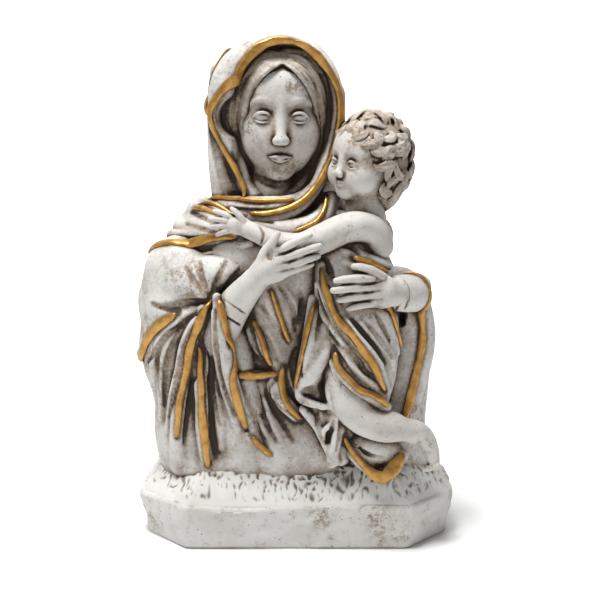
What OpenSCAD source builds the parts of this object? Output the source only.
/* [Plinth] */
// Width of the plinth at its widest line
plinth_w = 190; // [150:1:240]
// Depth of the plinth at its widest line
plinth_d = 110; // [90:1:140]
// Height of the plinth block
plinth_h = 27; // [18:1:40]
// Width that each corner cut takes off the front and back edges
corner_w = 28; // [15:1:40]
// Depth that each corner cut takes off the side edges
corner_d = 34; // [20:1:42]
// How far the walls draw in from the widest line down to the underside
wall_flare = 7; // [2:0.5:12]
// Height of the rounded brow along the top edge
brow_h = 5; // [3:0.5:9]
// Height of the stippled ground above the plinth
ground_h = 19; // [12:1:28]

/* [Figures] */
// Width across both sleeves of the seated figure
figure_w = 177; // [140:1:220]
// Depth of the figures from the child's knee to the back of the mantle
figure_d = 110; // [90:1:135]
// Height of the figures from the plinth top to the crown of the veil
figure_h = 272; // [220:1:330]
// Width of the mother's head
mother_head_w = 50; // [42:0.5:58]
// Height of the mother's head from chin to crown
mother_head_h = 72; // [60:0.5:84]
// Width of the child's head without the curls
child_head_w = 42; // [36:0.5:50]
// Size of one curl in the child's hair
curl_r = 6; // [4.5:0.1:7.5]

/* [Drapery] */
// Half-width of a gilt hem
hem_r = 2.4; // [1.8:0.1:3.2]
// Half-width of a fold in the heavy cloth
fold_r = 6; // [4.5:0.1:8]
// Thickness of the veil around its opening
veil_t = 5; // [3.5:0.1:7]

/* [Hands] */
// Half-width of the mother's fingers
finger_r = 3; // [2.4:0.1:3.8]
// Half-width of the child's fingers
small_finger_r = 2; // [1.6:0.1:2.6]

/* [Hidden] */
$fn = 10;
FOLD_SIDES = 8;
HEAD_SIDES = 16;

plaster = "#e6e1d6";
plaster_shade = "#cfc8ba";
skin_plaster = "#ece6da";
stipple = "#d8cdb8";
gilt = "#b9832f";

// The figures are laid out on a drawing of this width, depth and height, whose
// floor is the plinth top. Its points are then stretched to the sizes above.
DRAWN_W = 177;
DRAWN_D = 110;
DRAWN_H = 272;
DRAWN_FLOOR = 27;
kx = figure_w / DRAWN_W;
ky = figure_d / DRAWN_D;
kz = figure_h / DRAWN_H;
kr = (kx + ky + kz) / 3;

// Thickness of the slices that the plinth and ground are drawn through
SLICE_H = 0.5;
// Rise of the ground: how far in from the brow, and the share of its height there
GROUND_STEPS = [[0, 0], [5, 0.4], [15, 0.75], [27, 1]];

// Point of the drawing, on the real figures
function at(p) = [p.x * kx, p.y * ky, plinth_h + (p.z - DRAWN_FLOOR) * kz];
// The ith of a list of radii, or the one radius that holds all along
function ith(r, i) = is_list(r) ? r[i] : r;

// Centres that the two heads grow from, and their growth
MOTHER_C = [-8, 0, 250];
CHILD_C = [44, -27, 226];
head_kx = mother_head_w / 50;
head_kz = mother_head_h / 72;
child_k = child_head_w / 42;

// Ball on the drawing, stretched to three half-sizes
module blob(p, s)
    hull()
        translate(at(p))
            scale([s.x * kx, s.y * ky, s.z * kz])
                sphere(1);

// One smooth mass through stretched balls, each [place, half-sizes]
module mass(balls)
    hull()
        for (b = balls)
            blob(b[0], b[1]);

// Round cord or fold through points of the drawing
module fold(points, r)
    for (i = [0:len(points) - 2])
        hull()
            for (j = [i, i + 1])
                translate(at(points[j]))
                    sphere(ith(r, j) * kr, $fn = FOLD_SIDES);

// Children grow with the mother's head, about its centre
module on_mother()
    translate(at(MOTHER_C))
        scale([head_kx, head_kx, head_kz])
            translate(-at(MOTHER_C))
                children();

// Children grow with the child's head, about its centre
module on_child()
    translate(at(CHILD_C))
        scale(child_k)
            translate(-at(CHILD_C))
                children();

// ---- Plinth and ground -------------------------------------------------

// Eight-sided outline, drawn in by a margin
module outline(margin)
    polygon([for (q = [[1, 1], [-1, 1], [-1, -1], [1, -1]])
             for (k = q.x * q.y > 0 ? [0, 1] : [1, 0])
             k == 0
             ? [q.x * (plinth_w / 2 - margin), q.y * (plinth_d / 2 - corner_d)]
             : [q.x * (plinth_w / 2 - corner_w), q.y * (plinth_d / 2 - margin)]]);

// Thin slice of the outline, lying on a height
module slice(margin, z)
    translate([0, 0, z])
        linear_extrude(SLICE_H)
            outline(margin);

module plinth_shape()
    union() {
        slice(wall_flare, 0);
        hull() {
            slice(wall_flare, 0);
            slice(0, plinth_h - 2 * brow_h);
            slice(0, plinth_h - brow_h);
            slice(brow_h * 0.7, plinth_h - SLICE_H);
        }
    }

module ground_shape()
    hull()
        for (step = GROUND_STEPS)
            slice(brow_h + step[0], plinth_h + step[1] * (ground_h - SLICE_H));

// ---- The mother --------------------------------------------------------

module mantle_shape() {
    mass([[[-28, 16, 182], [36, 22, 18]],
          [[16, 16, 178], [30, 22, 18]],
          [[-10, 18, 112], [74, 30, 20]],
          [[-3, 13, 45], [76, 33, 18]]]);
    for (x = [-62, -36, -8, 20, 46])
        fold([[x * 0.6 - 4, 34, 176], [x * 0.9, 41, 130], [x, 42, 85], [x * 1.05, 41, 36]],
             [fold_r, fold_r * 1.3, fold_r * 1.3, fold_r * 1.2]);
}

module gown_shape() {
    mass([[[-8, -10, 180], [38, 24, 20]],
          [[-8, -12, 112], [46, 28, 20]],
          [[-4, -10, 48], [66, 34, 18]]]);
    fold([[-14, -34, 176], [-12, -40, 150], [-8, -42, 125], [-14, -42, 108]], fold_r * 0.8);
    fold([[-30, -30, 165], [-26, -38, 140], [-20, -42, 118]], fold_r * 0.8);
    fold([[-26, -40, 100], [-24, -42, 78], [-16, -42, 55]], fold_r);
    fold([[-10, -40, 100], [-9, -44, 80], [0, -44, 55]], fold_r);
}

module gown_hems_shape() {
    fold([[-14, -43, 148], [-10, -44, 136], [-5, -46, 121], [-8, -45, 107], [-6, -47, 90], [2, -46, 78]],
         hem_r);
    fold([[-27, -40, 137], [-20, -43, 121], [-15, -45, 111]], hem_r);
}

module belt_shape()
    fold([[-38, -38, 102], [-24, -42, 103], [-12, -43, 104]], 1.2 * hem_r);

module mother_head_shape()
    on_mother() {
        mass([[[-8, 4, 256], [25, 28, 33]], [[-8, -6, 237], [19, 22, 22]]], $fn = HEAD_SIDES);
        fold([[-9, 2, 226], [-10, 0, 196]], [14, 16]);
        fold([[-8, -25, 253], [-8, -29, 241]], [2.5, 3.5]);
        fold([[-13, -24, 229], [-3, -24, 229]], 3);
        for (x = [-17, 1])
            blob([x, -22, 250], [5, 4, 3]);
    }

module mother_hair_shape()
    on_mother()
        difference() {
            union() {
                blob([-8, 4, 260], [28, 31, 32]);
                for (side = [-1, 1])
                    fold([[-8 + 2 * side, -24, 283], [-8 + 16 * side, -23, 272],
                          [-8 + 23 * side, -15, 252], [-8 + 24 * side, -8, 226]], [4, 5, 5, 5]);
            }
            mass([[[-8, -26, 250], [16, 16, 21]], [[-8, -26, 226], [20, 20, 20]]]);
        }

module veil_shape() {
    on_mother()
        difference() {
            union() {
                mass([[[-12, 8, 262], [40, 34, 38]], [[-11, -23, 258], [39, 8, 37]],
                      [[-14, 8, 226], [39, 32, 24]], [[-12, -18, 224], [35, 12, 20]]]);
                mass([[[-16, 6, 212], [36, 26, 14]], [[8, -22, 208], [17, 12, 13]],
                      [[-26, -18, 206], [18, 12, 11]]]);
                fold([[-46, -10, 262], [-47, -8, 235], [-44, -8, 208]], [6, 7, 8]);
                fold([[-38, -18, 240], [-40, -18, 222], [-38, -18, 206]], [4, 5, 6]);
            }
            mass([[[-10, -28, 257], [39 - veil_t, 34, 39 - veil_t]],
                  [[-6, -32, 226], [30 - veil_t, 28, 20]],
                  [[-12, -36, 210], [20 - veil_t, 22, 10]]]);
        }
    mass([[[-14, 14, 214], [34, 22, 14]], [[-8, 22, 184], [50, 20, 16]], [[-6, 32, 138], [46, 12, 14]]]);
    for (x = [-40, -22, -4, 14, 32])
        fold([[x * 0.8 - 6, 28, 206], [x - 3, 38, 184], [x * 1.1 - 3, 42, 160], [x * 1.1 - 3, 40, 134]],
             [0.4 * fold_r, 0.8 * fold_r, fold_r, 0.6 * fold_r]);
}

module veil_hem_shape()
    on_mother()
        for (side = [[[-30, -27, 206], [-35, -25, 222], [-44, -23, 243], [-48, -22, 256],
                      [-41, -26, 270], [-28, -29, 283], [-12, -30, 292], [0, -29, 293]],
                     [[0, -29, 293], [14, -26, 284], [25, -22, 268], [28, -20, 250], [22, -24, 230],
                      [10, -32, 211], [-9, -38, 198], [-26, -36, 197]]])
            fold(side, hem_r);

// The scarf and its hem lie round the neck, so they grow with the head
module neck_scarf_shape()
    on_mother() {
        fold([[-44, -16, 200], [-30, -24, 200], [-9, -28, 199], [8, -26, 201], [24, -18, 208]],
             [7, 8, 8, 8, 7]);
        fold([[-46, -18, 190], [-28, -28, 187], [-8, -32, 186], [14, -32, 190]], [7, 7, 7, 6]);
    }

module neck_hem_shape()
    on_mother()
        fold([[-50, -17, 206], [-40, -26, 205], [-22, -34, 202], [-9, -37, 203], [6, -36, 206]],
             0.9 * hem_r);

module cape_shape() {
    mass([[[-46, -6, 188], [16, 22, 13]], [[-66, -6, 178], [16, 18, 12]], [[-76, -6, 164], [10, 16, 10]]]);
    fold([[-42, -26, 192], [-55, -19, 186], [-66, -15, 178]], fold_r);
    fold([[-38, -33, 176], [-52, -30, 170], [-68, -24, 164], [-80, -12, 158]], fold_r);
}

module cape_hems_shape() {
    fold([[-84, -12, 168], [-71, -24, 175], [-55, -32, 180], [-34, -38, 184]], 1.3 * hem_r);
    fold([[-59, -16, 197], [-50, -24, 195], [-38, -32, 191]], hem_r);
    fold([[-70, -20, 182], [-56, -25, 188], [-42, -33, 186]], hem_r);
}

module right_sleeve_shape() {
    mass([[[-64, -14, 156], [22, 24, 12]],
          [[-68, -18, 110], [24, 24, 14]],
          [[-58, -16, 48], [28, 26, 18]],
          [[-30, -22, 50], [20, 20, 16]]]);
    mass([[[-52, -38, 154], [12, 10, 9]], [[-52, -36, 126], [14, 12, 14]], [[-42, -42, 126], [10, 10, 12]]]);
    fold([[-66, -36, 138], [-80, -30, 128], [-90, -22, 108], [-84, -20, 84], [-82, -16, 52]], fold_r);
    fold([[-56, -42, 142], [-70, -38, 120], [-74, -34, 92], [-76, -28, 50]], fold_r);
    fold([[-47, -47, 149], [-52, -46, 138], [-60, -44, 120], [-66, -40, 86], [-67, -36, 50]], fold_r);
    fold([[-47, -46, 142], [-54, -44, 120], [-54, -42, 84], [-52, -40, 50]], fold_r);
    fold([[-44, -48, 145], [-42, -48, 120], [-42, -44, 84], [-38, -40, 52]], fold_r);
    fold([[-42, -48, 146], [-38, -48, 118], [-32, -44, 86], [-20, -40, 58]], fold_r);
}

module right_sleeve_hems_shape() {
    fold([[-68, -42, 139], [-81, -36, 129], [-89, -29, 118], [-94, -22, 106]], hem_r);
    fold([[-47, -52, 150], [-53, -52, 138], [-60, -49, 122], [-66, -46, 100], [-70, -42, 62]], hem_r);
    fold([[-42, -53, 149], [-40, -54, 134], [-36, -53, 112], [-31, -49, 88], [-20, -46, 61], [-10, -43, 54]],
         hem_r);
    fold([[-56, -50, 122], [-56, -48, 100], [-55, -47, 76], [-52, -45, 50]], hem_r);
}

module right_hand_shape() {
    fold([[-38, -48, 134], [-31, -53, 146], [-25, -56, 158]], [10, 9, 8]);
    mass([[[-24, -56, 160], [8, 7, 7]], [[-8, -57, 176], [6, 5, 7]], [[-6, -57, 168], [6, 5, 6]]]);
    fold([[-20, -58, 170], [-15, -59, 180], [-9, -59, 185]], finger_r);
    for (tip = [[9, -58, 184], [13, -58, 178], [12, -58, 172], [6, -58, 166]])
        fold([[-6, -58, 172] + (tip - [9, -58, 175]) * 0.6, tip], finger_r);
}

module left_sleeve_shape() {
    mass([[[58, -8, 150], [14, 18, 12]], [[65, -6, 122], [15, 24, 14]], [[58, -4, 80], [18, 26, 14]]]);
    mass([[[56, -4, 80], [18, 26, 14]], [[55, -6, 46], [22, 30, 16]]]);
    fold([[66, -30, 156], [72, -28, 140], [74, -26, 118], [71, -26, 96], [65, -28, 76]], 0.8 * fold_r);
}

module left_sleeve_hem_shape()
    fold([[64, -36, 160], [70, -34, 151], [73, -31, 132], [74, -31, 114], [71, -31, 95], [65, -32, 75]],
         hem_r);

module left_cuff_shape()
    fold([[61, -38, 158], [64, -36, 150], [62, -38, 142]], 5);

module left_hand_shape() {
    mass([[[58, -44, 151], [8, 8, 9]], [[44, -52, 155], [7, 6, 9]]]);
    fold([[50, -50, 160], [40, -55, 165], [31, -56, 168]], finger_r);
    for (k = [0:3])
        fold([[44, -54, 160 - 4 * k], [34, -59, 160 - 4.5 * k], [23 + 2 * k, -59, 159 - 5.5 * k]],
             finger_r);
}

// ---- The child ---------------------------------------------------------

module child_head_shape()
    on_child() {
        mass([[[45, -26, 228], [20, 21, 20]], [[36, -31, 216], [14, 14, 13]]], $fn = HEAD_SIDES);
        fold([[42, -27, 214], [41, -30, 196]], [10, 11]);
        fold([[23, -38, 224], [20, -40, 219]], [1.6, 2.2]);
        for (x = [26, 38])
            blob([x, -36 - (x - 26) * 0.4, 225], [4, 4, 2.6]);
    }

// Curls stand in rings around a skull that leans back from the face
module child_curls_shape()
    on_child() {
        blob([50, -20, 231], [19, 21, 20]);
        for (ring = [0:3])
            for (i = [0:2 + ring])
                let (turn = -70 + (200 / (2 + ring)) * i, up = 68 - 30 * ring)
                    blob([48 + 18 * cos(turn) * cos(up), -21 + 20 * sin(turn) * cos(up),
                          232 + 19 * sin(up)], [curl_r, curl_r, curl_r], $fn = FOLD_SIDES);
        fold([[44, -36, 243], [36, -41, 244], [29, -36, 245]], curl_r * 0.8);
    }

module child_arm_shape() {
    fold([[47, -42, 172], [44, -45, 183], [35, -48, 190], [20, -52, 187], [6, -52, 181],
          [-10, -49, 182], [-24, -45, 187], [-34, -42, 191]], [9, 10, 10, 8, 7, 6.5, 5.5, 5]);
    for (tip = [[-44, -38, 197], [-47, -38, 192], [-47, -39, 187], [-43, -40, 183]])
        fold([[-35, -42, 191] + (tip - [-45, -39, 190]) * 0.4, tip], small_finger_r);
}

module child_robe_shape() {
    mass([[[47, -30, 184], [13, 14, 14]], [[44, -34, 166], [14, 16, 12]]]);
    mass([[[38, -36, 170], [17, 16, 12]], [[38, -38, 135], [20, 18, 14]], [[34, -42, 104], [22, 16, 14]]]);
    mass([[[52, -30, 140], [14, 16, 16]], [[54, -30, 96], [14, 16, 16]]]);
    fold([[16, -50, 170], [17, -52, 152], [22, -54, 136], [31, -56, 122], [41, -56, 108], [49, -50, 92]],
         fold_r);
    fold([[10, -46, 160], [10, -48, 138], [14, -50, 118], [24, -52, 102], [42, -52, 88]], fold_r);
    fold([[30, -52, 150], [38, -53, 134], [48, -50, 118], [56, -44, 108]], fold_r);
    fold([[42, -50, 146], [50, -47, 130], [57, -42, 116]], fold_r * 0.8);
}

module child_robe_hems_shape() {
    fold([[14, -56, 170], [15, -58, 154], [21, -60, 138], [30, -62, 126], [41, -62, 112], [50, -55, 92],
          [52, -51, 84]], hem_r);
    fold([[16, -54, 122], [19, -56, 111], [27, -58, 101], [38, -58, 93], [51, -54, 84]], hem_r);
    fold([[33, -53, 174], [40, -53, 171], [47, -50, 168], [53, -44, 165]], hem_r);
    fold([[48, -50, 150], [54, -47, 138], [60, -42, 124]], hem_r);
}

module child_swag_shape() {
    fold([[10, -46, 132], [14, -48, 122], [6, -50, 104], [0, -50, 92]], fold_r);
    fold([[2, -50, 90], [14, -52, 86], [24, -50, 92]], fold_r * 0.8);
    fold([[16, -48, 86], [18, -50, 76], [14, -50, 66], [20, -48, 50]], fold_r);
    fold([[16, -46, 116], [24, -48, 98], [28, -48, 80], [30, -46, 56]], fold_r * 1.3);
}

module child_swag_hem_shape()
    fold([[12, -51, 148], [7, -53, 136], [3, -54, 120], [0, -55, 104], [4, -56, 94]], hem_r);

module child_leg_shape() {
    fold([[30, -50, 96], [34, -54, 82], [47, -54, 74], [62, -52, 72], [72, -48, 71]],
         [11, 9.5, 8, 6.5, 5.5]);
    fold([[72, -48, 71], [77, -46, 62], [81, -44, 49]], [5.5, 5, 4]);
}

module robe_tail_shape()
    for (side = [0, 1])
        mass([[[28, -48, 68], [4, 4, 4]], [[46, -52, 50], [4, 4, 4]],
              [side == 0 ? [40, -42, 62] : [60, -47, 60], [5, 5, 5]]]);

module robe_tail_hem_shape()
    fold([[27, -51, 69], [32, -53, 60], [39, -55, 53], [46, -56, 48], [53, -55, 50], [61, -52, 57]],
         1.3 * hem_r);

// ---- Nodes -------------------------------------------------------------
// Each piece is cut by the pieces that lie on it or are set into it, so that
// neighbours meet face to face.

module plinth() color(plaster) plinth_shape();

module ground() color(stipple) ground_shape();

module mantle()
    color(plaster_shade) difference() {
        mantle_shape();
        ground_shape();
        gown_shape();
        veil_shape();
        mother_head_shape();
        mother_hair_shape();
        cape_shape();
        right_sleeve_shape();
        left_sleeve_shape();
        neck_scarf_shape();
    }

module gown()
    color(plaster) difference() {
        gown_shape();
        ground_shape();
        veil_shape();
        gown_hems_shape();
        belt_shape();
        right_sleeve_hems_shape();
        mother_head_shape();
        neck_scarf_shape();
        cape_shape();
        right_sleeve_shape();
        left_sleeve_shape();
        right_hand_shape();
        child_arm_shape();
        child_robe_shape();
        child_swag_shape();
    }

module gown_hems()
    color(gilt) difference() {
        gown_hems_shape();
        child_swag_shape();
        child_swag_hem_shape();
        belt_shape();
    }

module belt()
    color(gilt) difference() {
        belt_shape();
        right_sleeve_shape();
        right_sleeve_hems_shape();
    }

module mother_head() color(skin_plaster) mother_head_shape();

module mother_hair()
    color(plaster_shade) difference() {
        mother_hair_shape();
        mother_head_shape();
    }

module veil()
    color(plaster) difference() {
        veil_shape();
        veil_hem_shape();
        neck_hem_shape();
        mother_hair_shape();
        mother_head_shape();
        child_head_shape();
        child_curls_shape();
        child_arm_shape();
    }

module veil_hem()
    color(gilt) difference() {
        veil_hem_shape();
        mother_hair_shape();
        child_head_shape();
        child_curls_shape();
        child_arm_shape();
    }

module neck_scarf()
    color(plaster) difference() {
        neck_scarf_shape();
        neck_hem_shape();
        veil_shape();
        veil_hem_shape();
        mother_head_shape();
        child_head_shape();
        child_arm_shape();
        cape_hems_shape();
    }

module neck_hem()
    color(gilt) difference() {
        neck_hem_shape();
        veil_hem_shape();
        mother_head_shape();
    }

module cape()
    color(plaster) difference() {
        cape_shape();
        cape_hems_shape();
        veil_shape();
        neck_scarf_shape();
        child_arm_shape();
        right_sleeve_shape();
    }

module cape_hems()
    color(gilt) difference() {
        cape_hems_shape();
        child_arm_shape();
    }

module right_sleeve()
    color(plaster) difference() {
        right_sleeve_shape();
        ground_shape();
        right_sleeve_hems_shape();
        right_hand_shape();
    }

module right_sleeve_hems()
    color(gilt) difference() {
        right_sleeve_hems_shape();
        right_hand_shape();
        ground_shape();
    }

module right_hand() color(skin_plaster) right_hand_shape();

module left_sleeve()
    color(plaster_shade) difference() {
        left_sleeve_shape();
        ground_shape();
        left_sleeve_hem_shape();
        left_cuff_shape();
        left_hand_shape();
        child_robe_shape();
        child_leg_shape();
        child_arm_shape();
    }

module left_sleeve_hem()
    color(gilt) difference() {
        left_sleeve_hem_shape();
        left_cuff_shape();
        child_leg_shape();
    }

module left_cuff()
    color(plaster) difference() {
        left_cuff_shape();
        left_hand_shape();
        child_robe_shape();
    }

module left_hand() color(skin_plaster) left_hand_shape();

module child_head()
    color(skin_plaster) difference() {
        child_head_shape();
        child_curls_shape();
    }

module child_curls() color(plaster_shade) child_curls_shape();

module child_arm()
    color(skin_plaster) difference() {
        child_arm_shape();
        child_head_shape();
        child_curls_shape();
        right_hand_shape();
        child_robe_hems_shape();
    }

module child_robe()
    color(plaster) difference() {
        child_robe_shape();
        child_robe_hems_shape();
        child_arm_shape();
        child_head_shape();
        child_leg_shape();
        left_hand_shape();
        child_swag_shape();
        right_hand_shape();
        child_swag_hem_shape();
    }

module child_robe_hems()
    color(gilt) difference() {
        child_robe_hems_shape();
        left_hand_shape();
        right_hand_shape();
    }

module child_swag()
    color(plaster) difference() {
        child_swag_shape();
        child_swag_hem_shape();
        child_robe_hems_shape();
        child_leg_shape();
        robe_tail_hem_shape();
        robe_tail_shape();
        ground_shape();
    }

module child_swag_hem()
    color(gilt) difference() {
        child_swag_hem_shape();
        child_robe_hems_shape();
    }

module child_leg()
    color(skin_plaster) difference() {
        child_leg_shape();
        robe_tail_hem_shape();
        child_robe_hems_shape();
        ground_shape();
    }

module robe_tail()
    color(plaster) difference() {
        robe_tail_shape();
        robe_tail_hem_shape();
        child_leg_shape();
        ground_shape();
    }

module robe_tail_hem()
    color(gilt) difference() {
        robe_tail_hem_shape();
        ground_shape();
    }

plinth();
ground();
mantle();
gown();
gown_hems();
belt();
mother_head();
mother_hair();
veil();
veil_hem();
neck_scarf();
neck_hem();
cape();
cape_hems();
right_sleeve();
right_sleeve_hems();
right_hand();
left_sleeve();
left_sleeve_hem();
left_cuff();
left_hand();
child_head();
child_curls();
child_arm();
child_robe();
child_robe_hems();
child_swag();
child_swag_hem();
child_leg();
robe_tail();
robe_tail_hem();
